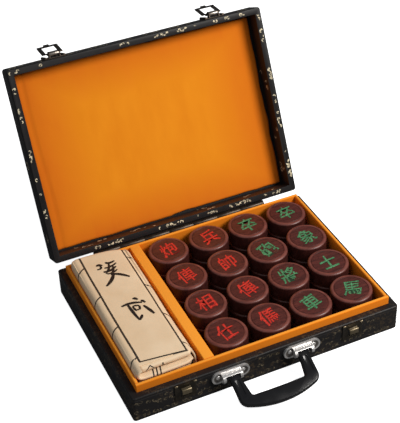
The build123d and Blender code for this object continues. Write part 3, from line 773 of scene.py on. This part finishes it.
right_line = abs(east + 0.0834 + shake * 0.5) < pen * 1.25
front_line = abs(north + 0.0850 + (east + 0.105) * 0.13) < pen * 1.2
between_lines = (east > -0.1335) * (east < -0.0825)
front_line = front_line * between_lines
behind = (north + (east + 0.105) * 0.13) > -0.0855
sagging = abs(east - board_middle) - 0.0262
ticks = None
for index in range(4):
    start = 0.0775 - index * 0.0508
    tick = abs(north - start + sagging * 0.55 + (0.049 - height) * 0.12) < pen * 1.3
    ticks = tick if ticks is None else ticks.math("MAXIMUM", tick)
outside = 1 - between_lines
ticks = ticks * outside * (height > 0.016)
ink = (left_line * behind).math("MAXIMUM", right_line * behind)
ink = ink.math("MAXIMUM", front_line).math("MAXIMUM", ticks) * outer
folded = north < -0.0875
bars = None
for middle, low, high in ((-0.1235, 0.035, 0.0405), (-0.1195, 0.035, 0.0405), (-0.1155, 0.035, 0.0405), (-0.1122, 0.0418, 0.0462)):
    bar = (abs(east - middle - (north + 0.093) * 0.25) < pen) * (height > low) * (height < high)
    bars = bar if bars is None else bars.math("MAXIMUM", bar)
for middle, lean in ((-0.1275, 1.3), (-0.1235, -1.0)):
    bar = abs(east - middle - (height - 0.0455) * lean) < pen
    bars = bars.math("MAXIMUM", bar * (height > 0.0430) * (height < 0.0470))
ink = ink.math("MAXIMUM", bars * folded)
tone = (mottle * 1.5 - 0.25).math("ADD", 0.0, clamp=True)
hide = tone.mix((0.72, 0.510, 0.310), (0.86, 0.670, 0.460))
tree.links.new((ink * 0.96).mix(hide, (0.010, 0.008, 0.007)).socket, surface.inputs["Base Color"])
bump = Wire.add(tree, "ShaderNodeBump", {}, {"Height": skin, "Strength": 0.12, "Distance": 0.0002})
tree.links.new(bump.socket, surface.inputs["Normal"])


def board_top_height(x, y):
    """Height of the roll's top: fuller towards the back, a little lower to the sides."""
    back = min(1, max(0, (y + 0.02) / 0.12))
    across = (x - board_middle) / 0.034
    crown = 1 - across**2 * (0.15 + 0.95 * (across > 0))
    return 0.0484 + 0.0040 * back * max(0, crown) + 0.0004 * sin(y * 40 + x * 30)


def wrap_point(part, y, shrink):
    """A point of the wrap's section, by its part of the way round from the right side up."""
    half = (board_right - board_left) / 2 - shrink
    top = board_top_height(board_middle, y)
    foot = board_foot + shrink
    corners = (
        (half - 0.0125, top - 0.0125, 0.0125),
        (-half + 0.0070, top - 0.0070, 0.0070),
        (-half + 0.007, foot + 0.007, 0.007),
        (half - 0.008, foot + 0.008, 0.008),
    )
    index = int(part * 4) % 4
    share = part * 4 - int(part * 4)
    cx, cz, radius = corners[index]
    next_x, next_z, next_radius = corners[(index + 1) % 4]
    bend = 0.5
    if share < bend:
        angle = (index + share / bend) * pi / 2
        x, z = cx + radius * cos(angle), cz + radius * sin(angle)
    else:
        share = (share - bend) / (1 - bend)
        end = (index + 1) * pi / 2
        x = (cx + radius * cos(end)) * (1 - share) + (next_x + next_radius * cos(end)) * share
        z = (cz + radius * sin(end)) * (1 - share) + (next_z + next_radius * sin(end)) * share
    x += board_middle
    if z > top - 0.002:
        z += board_top_height(x, y) - top
    return x, z - shrink * 0.6 * (z > 0.02)


def wrap_front(z):
    """Where the wrap ends in front: it is drawn back on top and reaches further down below."""
    low = min(1, max(0, (0.0478 - z) / 0.0130))
    return -0.0868 - 0.0090 * low**0.6


# outer wrap: one turn of the sheet, closed and rounded at the back, open in front
rings, around = 96, 112
mesh = bmesh.new()
grid = []
for ring in range(rings):
    way = ring / (rings - 1)
    line = []
    for step in range(around):
        x, z = wrap_point(step / around, 0.09, 0)
        across = (x - board_left) / (board_right - board_left)
        back = board_back_left + (board_back_right - board_back_left) * max(0, across) ** 2
        front = wrap_front(z) + 0.0045 * max(0, across - 0.8) * (z < 0.046) / 0.2
        y = back + (front - back) * way
        shrink = 0.0036 * max(0, 1 - (back - y) / 0.0036) ** 2
        x, z = wrap_point(step / around, y, shrink)
        push = noise.noise(Vector((x * 26, y * 15, z * 26)))
        x = min(max(x + 0.0005 * push, board_left), board_right)
        line.append(mesh.verts.new((x, y, max(z + 0.0005 * push, board_foot + 0.0001))))
    grid.append(line)
for first, second in zip(grid, grid[1:]):
    for step in range(around):
        after = (step + 1) % around
        mesh.faces.new((first[step], second[step], second[after], first[after]))
mesh.faces.new(grid[0])
bmesh.ops.recalc_face_normals(mesh, faces=mesh.faces)
data = bpy.data.meshes.new("board_wrap")
mesh.to_mesh(data)
mesh.free()
wrap = bpy.data.objects.new("folded_board_wrap", data)
scene.collection.objects.link(wrap)
bpy.ops.object.select_all(action="DESELECT")
wrap.select_set(True)
bpy.context.view_layer.objects.active = wrap
leather = wrap.modifiers.new("leather", "SOLIDIFY")
leather.thickness = sheet_thickness
leather.offset = -1
bpy.ops.object.modifier_apply(modifier="leather")
hem = wrap.modifiers.new("hem", "BEVEL")
hem.width = 0.0004
hem.segments = 2
hem.limit_method = "ANGLE"
hem.angle_limit = radians(60)
bpy.ops.object.modifier_apply(modifier="hem")
bpy.ops.object.shade_smooth_by_angle(angle=radians(50))
wrap.data.materials.append(cream)
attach(wrap, "case")
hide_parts("folded_board")

# the folds inside: bights of the sheet, each reaching further forward than the one above it
bights = (
    # lowest and highest edge, how far it reaches, how far it stops short at the left and the right
    (0.0412, 0.0476, -0.0912, 0.0052, 0.0042),
    (0.0290, 0.0344, -0.0905, 0.0042, 0.0030),
    (0.0205, 0.0280, -0.0905, 0.0034, 0.0034),
    (0.0062, 0.0195, -0.0905, 0.0036, 0.0032),
)
for number, (low, high, reach, left_gap, right_gap) in enumerate(bights):
    bend = (high - low) / 2
    path = [(-0.070 - step * 0.004, bend) for step in range(4)]
    for step in range(13):
        angle = pi / 2 + pi * step / 12
        path.append((reach + bend + bend * cos(angle), bend * sin(angle)))
    path += [(-0.082 + step * 0.004, -bend) for step in range(4)]
    mesh = bmesh.new()
    columns = 48
    rows = []
    for column in range(columns):
        share = column / (columns - 1)
        x = board_left + left_gap + (board_right - board_left - left_gap - right_gap) * share
        end = max(0, abs(2 * share - 1) - 0.86) / 0.14
        squeeze = 1 - 0.75 * end**2
        drawn = 0.0050 * end**2
        line = []
        for y, z in path:
            push = noise.noise(Vector((x * 45, number * 4.0, z * 60)))
            slope = 0.0011 * (share - 0.5)
            height = (low + high) / 2 + z * squeeze + push * 0.0009 + slope
            line.append(mesh.verts.new((x, y + push * 0.0007 + drawn, height)))
        rows.append(line)
    for first, second in zip(rows, rows[1:]):
        for step in range(len(path) - 1):
            mesh.faces.new((first[step], first[step + 1], second[step + 1], second[step]))
    data = bpy.data.meshes.new(f"board_fold_{number}")
    mesh.to_mesh(data)
    mesh.free()
    fold = bpy.data.objects.new(f"folded_board_bight_{number + 1}", data)
    scene.collection.objects.link(fold)
    bpy.ops.object.select_all(action="DESELECT")
    fold.select_set(True)
    bpy.context.view_layer.objects.active = fold
    bpy.ops.object.shade_smooth()
    fold.data.materials.append(cream)
    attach(fold, "case")

# the outermost layer: it comes round from the left side and runs to the right under the others
turn_line = (
    # across, height, half the layer's thickness
    (-0.1360, 0.0486, 0.0012),
    (-0.1386, 0.0478, 0.0014),
    (-0.1402, 0.0458, 0.0015),
    (-0.1409, 0.0432, 0.0015),
    (-0.1404, 0.0406, 0.0016),
    (-0.1386, 0.0387, 0.0017),
    (-0.1355, 0.0378, 0.0018),
    (-0.1310, 0.0375, 0.0020),
    (-0.1240, 0.0374, 0.0022),
    (-0.1140, 0.0375, 0.0022),
    (-0.1040, 0.0377, 0.0022),
    (-0.0940, 0.0379, 0.0021),
    (-0.0860, 0.0384, 0.0019),
    (-0.0815, 0.0392, 0.0015),
    (-0.0790, 0.0402, 0.0009),
)
mesh = bmesh.new()
rows = []
for index, (x, z, half) in enumerate(turn_line):
    before, after = turn_line[max(0, index - 1)], turn_line[min(len(turn_line) - 1, index + 1)]
    along = Vector((after[0] - before[0], after[1] - before[1])).normalized()
    out = Vector((along.y, -along.x))
    nose = -0.0962 + 0.0030 * max(0, (x + 0.0860) / 0.007)
    line = []
    for step in range(17):
        if step < 3:
            y, across = -0.076 - step * 0.004, 1.0
        elif step > 13:
            y, across = -0.076 - (16 - step) * 0.004, -1.0
        else:
            angle = pi / 2 + pi * (step - 3) / 10
            y, across = nose + half + half * cos(angle), sin(angle)
        line.append(mesh.verts.new((x + out.x * half * across, y, z + out.y * half * across)))
    rows.append(line)
for first, second in zip(rows, rows[1:]):
    for step in range(16):
        mesh.faces.new((first[step], second[step], second[step + 1], first[step + 1]))
bmesh.ops.recalc_face_normals(mesh, faces=mesh.faces)
data = bpy.data.meshes.new("board_outer_turn")
mesh.to_mesh(data)
mesh.free()
turn = bpy.data.objects.new("folded_board_outer_turn", data)
scene.collection.objects.link(turn)
bpy.ops.object.select_all(action="DESELECT")
turn.select_set(True)
bpy.context.view_layer.objects.active = turn
rounding = turn.modifiers.new("rounding", "SUBSURF")
rounding.levels = 2
rounding.render_levels = 2
bpy.ops.object.modifier_apply(modifier="rounding")
bpy.ops.object.shade_smooth()
turn.data.materials.append(cream)
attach(turn, "case")

# two brushed marks on top, of a few strokes each, pressed onto the leather
ink_finish, tree, surface = new_finish("black_ink", Roughness=0.5)
place = Wire.add(tree, "ShaderNodeTexCoord", output=3)
dry = Wire.add(tree, "ShaderNodeTexNoise", {}, {"Vector": place, "Scale": 700.0, "Detail": 3.0})
tree.links.new(dry.mix((0.004, 0.004, 0.004), (0.016, 0.012, 0.010)).socket, surface.inputs["Base Color"])
mesh = bmesh.new()


def on_board(at):
    x, y = at
    push = noise.noise(Vector((x * 26, y * 15, 0.05 * 26)))
    return (x, y, board_top_height(x, y) + 0.0005 * push + 0.00035)


for (x, y), turn, strokes in (
    ((-0.1085, 0.059), 0.12, (
        ((-9, 17), (-7, 20), (-3, 15), 2.6),
        ((-11, 12), (-4, 10), (-6, 17), 2.0),
        ((2, 18), (3, 13), (12, 15), 2.6),
        ((-3, 10), (3, 7), (12, 11), 2.2),
        ((4, 14), (2, 6), (-6, 1), 2.2),
        ((-7, 5), (0, 1), (9, 6), 2.6),
        ((6, 8), (5, 2), (-2, -4), 2.2),
        ((-5, 0), (2, -3), (8, 1), 2.0),
        ((1, -3), (-4, -12), (-15, -17), 3.4),
        ((0, -3), (8, -8), (14, -17), 2.8),
    )),
    ((-0.1055, -0.010), 0.10, (
        ((-12, 14), (-2, 16), (10, 9), 2.8),
        ((-5, 14), (-6, 2), (-5, -14), 2.7),
        ((-5, -14), (-1, -11), (1, -8), 2.6),
        ((-2, 8), (1, 9), (5, 6), 2.0),
        ((-2, 8), (-2, 3), (-1, 0), 2.0),
        ((5, 6), (4, 3), (3, 0), 2.0),
        ((-1, 1), (1, 1), (4, 1), 1.7),
        ((4, 18), (6, 20), (8, 15), 2.8),
        ((10, 12), (12, 12), (13, 7), 2.4),
        ((9, 4), (12, -6), (13, -13), 2.8),
    )),
):
    for start, bend, end, width in strokes:
        points = []
        for px, py in (start, bend, end):
            point = Vector((px, py)) * 0.001
            point.rotate(Matrix.Rotation(turn, 2))
            points.append(point + Vector((x, y)))
        first, middle, last = points
        line = [
            first * (1 - part) ** 2 + middle * 2 * part * (1 - part) + last * part**2
            for part in (step / 13 for step in range(14))
        ]
        brush_stroke(mesh, line, width * 0.001, on_board)
data = bpy.data.meshes.new("board_marks")
mesh.to_mesh(data)
mesh.free()
marks = bpy.data.objects.new("folded_board_marks", data)
scene.collection.objects.link(marks)
marks.data.materials.append(ink_finish)
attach(marks, "case")

# ---------------------------------------------------------------------------------------------
# Piano hinge. Two rolled steel leaves on one pin, bronzed dark, with two tabs on the lower leaf
# that stop the lid. Round-headed screws hold it.
knuckle_reach = 0.0038
bronzed, tree, surface = new_finish("bronzed_steel", Roughness=0.38, Metallic=0.9)
place = Wire.add(tree, "ShaderNodeTexCoord", output=3)
rubbed = Wire.add(tree, "ShaderNodeTexNoise", {}, {"Vector": place, "Scale": 160.0, "Detail": 4.0})
tree.links.new(
    rubbed.mix((0.020, 0.015, 0.012), (0.075, 0.058, 0.045)).socket, surface.inputs["Base Color"]
)
tree.links.new((rubbed * 0.35 + 0.22).socket, surface.inputs["Roughness"])
for node in ("hinge_leaf_base", "hinge_leaf_lid"):
    leaf = dressed(node, bronzed, bevel=0.00015, segments=2)
    # the paint on the rolled knuckles closes the slit that the bare steel leaves
    for vertex in leaf.data.vertices:
        arm = Vector((0, vertex.co.y - hinge_place.y, vertex.co.z - hinge_place.z))
        if knuckle_reach - 0.0002 < arm.length < knuckle_reach + 0.00005:
            vertex.co += arm.normalized() * 0.0003
dressed("hinge_pin", bronzed)

# ---------------------------------------------------------------------------------------------
# Draw latches on the lid. A nickel plate with rolled sides carries a lever between two ears; the
# lever pulls a dark wire-like loop over the hook on the base.
nickel, tree, surface = new_finish("nickel_plate", Roughness=0.3, Metallic=1.0)
place = Wire.add(tree, "ShaderNodeTexCoord", output=3)
tarnish = Wire.add(tree, "ShaderNodeTexNoise", {}, {"Vector": place, "Scale": 240.0, "Detail": 4.0})
tree.links.new(
    tarnish.mix((0.20, 0.17, 0.145), (0.46, 0.42, 0.38)).socket, surface.inputs["Base Color"]
)
tree.links.new((tarnish * 0.3 + 0.2).socket, surface.inputs["Roughness"])
for hand in ("left", "right"):
    dressed(f"latch_plate_{hand}", bronzed, bevel=0.00018)
    dressed(f"latch_lever_{hand}", nickel, bevel=0.00025)
    dressed(f"lever_pin_{hand}", nickel)
    dressed(f"latch_loop_{hand}", bronzed, bevel=0.0002)

# ---------------------------------------------------------------------------------------------
# Catches on the base. A stamped plate in antique brass, its middle tongue bent over into a hook.
antique, tree, surface = new_finish("antique_brass", Roughness=0.35, Metallic=0.75)
place = Wire.add(tree, "ShaderNodeTexCoord", output=3)
patina = Wire.add(tree, "ShaderNodeTexNoise", {}, {"Vector": place, "Scale": 260.0, "Detail": 4.0})
plate = patina.mix((0.012, 0.010, 0.008), (0.070, 0.056, 0.038))
bright = patina.mix((0.080, 0.060, 0.034), (0.300, 0.240, 0.150))
forward = Wire.add(tree, "ShaderNodeSeparateXYZ", {}, {0: place}, 1) < -0.1138
tree.links.new(forward.mix(plate, bright).socket, surface.inputs["Base Color"])
for hand in ("left", "right"):
    dressed(f"catch_{hand}", antique, bevel=0.00018)

# ---------------------------------------------------------------------------------------------
# Handle brackets. Chromed stampings with a dished lobe at each end for a screw, and a vault in
# the middle that holds the grip's cross bar in its two ears.
chrome, tree, surface = new_finish("chrome", Roughness=0.36, Metallic=0.8)
# painted reflection: inside the screw dishes the chrome takes a dark colour, for the dark room it would mirror
hollow = Wire.add(tree, "ShaderNodeAttribute", {"attribute_name": "hollow"}, output=2)
tree.links.new(
    hollow.mix((0.84, 0.82, 0.80), (0.20, 0.18, 0.165)).socket, surface.inputs["Base Color"]
)
bracket_wide, bracket_high, bracket_thick = 0.043, 0.015, 0.0024
bracket_middle, bracket_rise = -0.047, 0.0215
bracket_spacing = 0.083
lobe_reach = bracket_wide / 2 - bracket_high / 2
dish_reach, dish_depth = 0.0058, 0.0013
dish_curve = (dish_reach**2 + dish_depth**2) / (2 * dish_depth)
vault_out, vault_rise, vault_reach, vault_half = 0.0040, 0.0210, 0.0052, 0.0112
bar_room, seat_half = 0.00295, 0.0100
window_half, window_top, bridge_under = 0.0082, 0.0250, 0.0036
front = -deep


def worked(piece, tool, operation="DIFFERENCE"):
    """Cuts a solid with another, or joins the two, and takes the other away."""
    cut = piece.modifiers.new("cut", "BOOLEAN")
    cut.operation = operation
    cut.object = tool
    cut.solver = "EXACT"
    bpy.context.view_layer.objects.active = piece
    bpy.ops.object.modifier_apply(modifier="cut")
    bpy.data.objects.remove(tool)


def block(low, high):
    """A box between two corners."""
    low, high = Vector(low), Vector(high)
    bpy.ops.object.select_all(action="DESELECT")
    bpy.ops.mesh.primitive_cube_add(size=1, location=(low + high) / 2, scale=high - low)
    bpy.ops.object.transform_apply(location=True, scale=True)
    return bpy.context.object


def bar_along(x, half, y, z, radius, sides=72):
    """A round bar that lies along the case's front."""
    bpy.ops.object.select_all(action="DESELECT")
    bpy.ops.mesh.primitive_cylinder_add(
        vertices=sides, radius=radius, depth=2 * half, location=(x, y, z), rotation=(0, pi / 2, 0)
    )
    bpy.ops.object.transform_apply(location=True, rotation=True)
    return bpy.context.object


x = bracket_middle
pressing = block(
    (x - bracket_wide / 2, front - bracket_thick, bracket_rise - bracket_high / 2),
    (x + bracket_wide / 2, front, bracket_rise + bracket_high / 2),
)
bpy.ops.object.mode_set(mode="EDIT")
bpy.ops.mesh.select_mode(type="EDGE")
bpy.ops.mesh.select_all(action="DESELECT")
mesh = bmesh.from_edit_mesh(pressing.data)
for edge in mesh.edges:
    ends = edge.verts[0].co - edge.verts[1].co
    edge.select_set(abs(ends.y) > 0.9 * bracket_thick and abs(ends.x) + abs(ends.z) < 1e-6)
bmesh.update_edit_mesh(pressing.data)
bpy.ops.mesh.bevel(offset=bracket_high / 2 - 0.00002, segments=16, affect="EDGES")
bpy.ops.object.mode_set(mode="OBJECT")
for side in (-1, 1):
    bpy.ops.object.select_all(action="DESELECT")
    bpy.ops.mesh.primitive_uv_sphere_add(
        segments=64,
        ring_count=72,
        radius=dish_curve,
        location=(
            x + side * lobe_reach, front - bracket_thick - dish_curve + dish_depth, bracket_rise
        ),
        rotation=(pi / 2, 0, 0),
    )
    bpy.ops.object.transform_apply(location=True, rotation=True)
    worked(pressing, bpy.context.object)
y, z = front - vault_out, vault_rise
worked(pressing, bar_along(x, vault_half, y, z, vault_reach), "UNION")
worked(
    pressing,
    block((x - vault_half, y, z - vault_reach), (x + vault_half, front - 0.0001, z + vault_reach)),
    "UNION",
)
worked(pressing, bar_along(x, seat_half, y, z, bar_room))
worked(pressing, block((x - seat_half, y, z - bar_room), (x + seat_half, front + 0.001, z + bar_room)))
worked(pressing, bar_along(x, window_half, y, z, bridge_under))
worked(
    pressing,
    block((x - window_half, y, z - bridge_under), (x + window_half, front + 0.001, z + bridge_under)),
)
worked(
    pressing,
    block(
        (x - window_half, y - vault_reach - 0.001, bracket_rise - bracket_high / 2 - 0.001),
        (x + window_half, front + 0.001, window_top),
    ),
)
bpy.context.view_layer.objects.active = pressing
easing = pressing.modifiers.new("easing", "BEVEL")
easing.width = 0.0004
easing.segments = 3
easing.limit_method = "ANGLE"
easing.angle_limit = radians(28)
bpy.ops.object.modifier_apply(modifier="easing")
pressing.select_set(True)
bpy.ops.object.shade_smooth_by_angle(angle=radians(35))
pressing.data.materials.append(chrome)
# marks the dishes, where the dark reflection is painted in
hollow = pressing.data.attributes.new("hollow", "FLOAT", "POINT")
for vertex, part in zip(pressing.data.vertices, hollow.data):
    for side in (-1, 1):
        away = Vector((vertex.co.x - x - side * lobe_reach, vertex.co.z - bracket_rise)).length
        if away < dish_reach * 0.93 and vertex.co.y > front - bracket_thick + 0.0002:
            part.value = 1.0

# the screws: raised heads with a cross slot, seated in the dishes
screw_reach, screw_high = 0.0029, 0.0015
screw_curve = (screw_reach**2 + screw_high**2) / (2 * screw_high)
seat = front - bracket_thick + dish_depth
bpy.ops.object.select_all(action="DESELECT")
bpy.ops.mesh.primitive_uv_sphere_add(
    segments=40,
    ring_count=40,
    radius=screw_curve,
    location=(x - lobe_reach, seat + screw_curve - screw_high, bracket_rise),
    rotation=(pi / 2, 0, 0),
)
screw = bpy.context.object
bpy.ops.object.transform_apply(location=True, rotation=True)
bpy.ops.object.mode_set(mode="EDIT")
bpy.ops.mesh.select_all(action="SELECT")
bpy.ops.mesh.bisect(
    plane_co=(0, seat, 0), plane_no=(0, 1, 0), clear_outer=True, use_fill=True
)
bpy.ops.object.mode_set(mode="OBJECT")
for reach_x, reach_z in ((0.0017, 0.00034), (0.00034, 0.0017)):
    low = (x - lobe_reach - reach_x, seat - screw_high - 0.0005, bracket_rise - reach_z)
    high = (x - lobe_reach + reach_x, seat - screw_high + 0.0008, bracket_rise + reach_z)
    worked(screw, block(low, high))
bpy.ops.object.select_all(action="DESELECT")
screw.select_set(True)
bpy.context.view_layer.objects.active = screw
bpy.ops.object.shade_smooth_by_angle(angle=radians(35))
screw.data.materials.append(chrome)

screws = []
for hand, shift in (("left", 0.0), ("right", bracket_spacing)):
    bracket = pressing.copy()
    bracket.data = pressing.data.copy()
    bracket.name = f"handle_bracket_{hand}_pressed"
    bracket.data.transform(Matrix.Translation((shift, 0, 0)))
    scene.collection.objects.link(bracket)
    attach(bracket, "case")
    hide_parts(f"handle_bracket_{hand}")
    for reach in (0, 2 * lobe_reach):
        copy = screw.copy()
        copy.data = screw.data.copy()
        spot = Matrix.Translation((x - lobe_reach, 0, bracket_rise))
        turned = spot @ Matrix.Rotation(radians(25 + 30 * len(screws)), 4, "Y") @ spot.inverted()
        copy.data.transform(Matrix.Translation((shift + reach, 0, 0)) @ turned)
        scene.collection.objects.link(copy)
        screws.append(copy)
bpy.data.objects.remove(pressing)
bpy.data.objects.remove(screw)
bpy.ops.object.select_all(action="DESELECT")
for copy in screws:
    copy.select_set(True)
bpy.context.view_layer.objects.active = screws[0]
bpy.ops.object.join()
screws[0].name = "bracket_screws_raised"
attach(screws[0], "case")
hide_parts("bracket_screws")
for node in ("hinge_screws_base", "hinge_screws_lid"):
    dressed(node, bronzed, bevel=0.00025)

# ---------------------------------------------------------------------------------------------
# Grip. One black moulding: a smooth bowed blade, two arms with a channel each, and a cross bar at
# each arm's end that turns in its bracket.
black_plastic, tree, surface = new_finish("black_plastic", Roughness=0.28)
surface.inputs["Specular IOR Level"].default_value = 0.4
place = Wire.add(tree, "ShaderNodeTexCoord", output=3)
haze = Wire.add(tree, "ShaderNodeTexNoise", {}, {"Vector": place, "Scale": 90.0, "Detail": 4.0})
tree.links.new(
    haze.mix((0.006, 0.006, 0.007), (0.010, 0.010, 0.011)).socket, surface.inputs["Base Color"]
)
tree.links.new((haze * 0.10 + 0.10).socket, surface.inputs["Roughness"])
dressed("handle_grip", black_plastic, bevel=0.0007, segments=3)
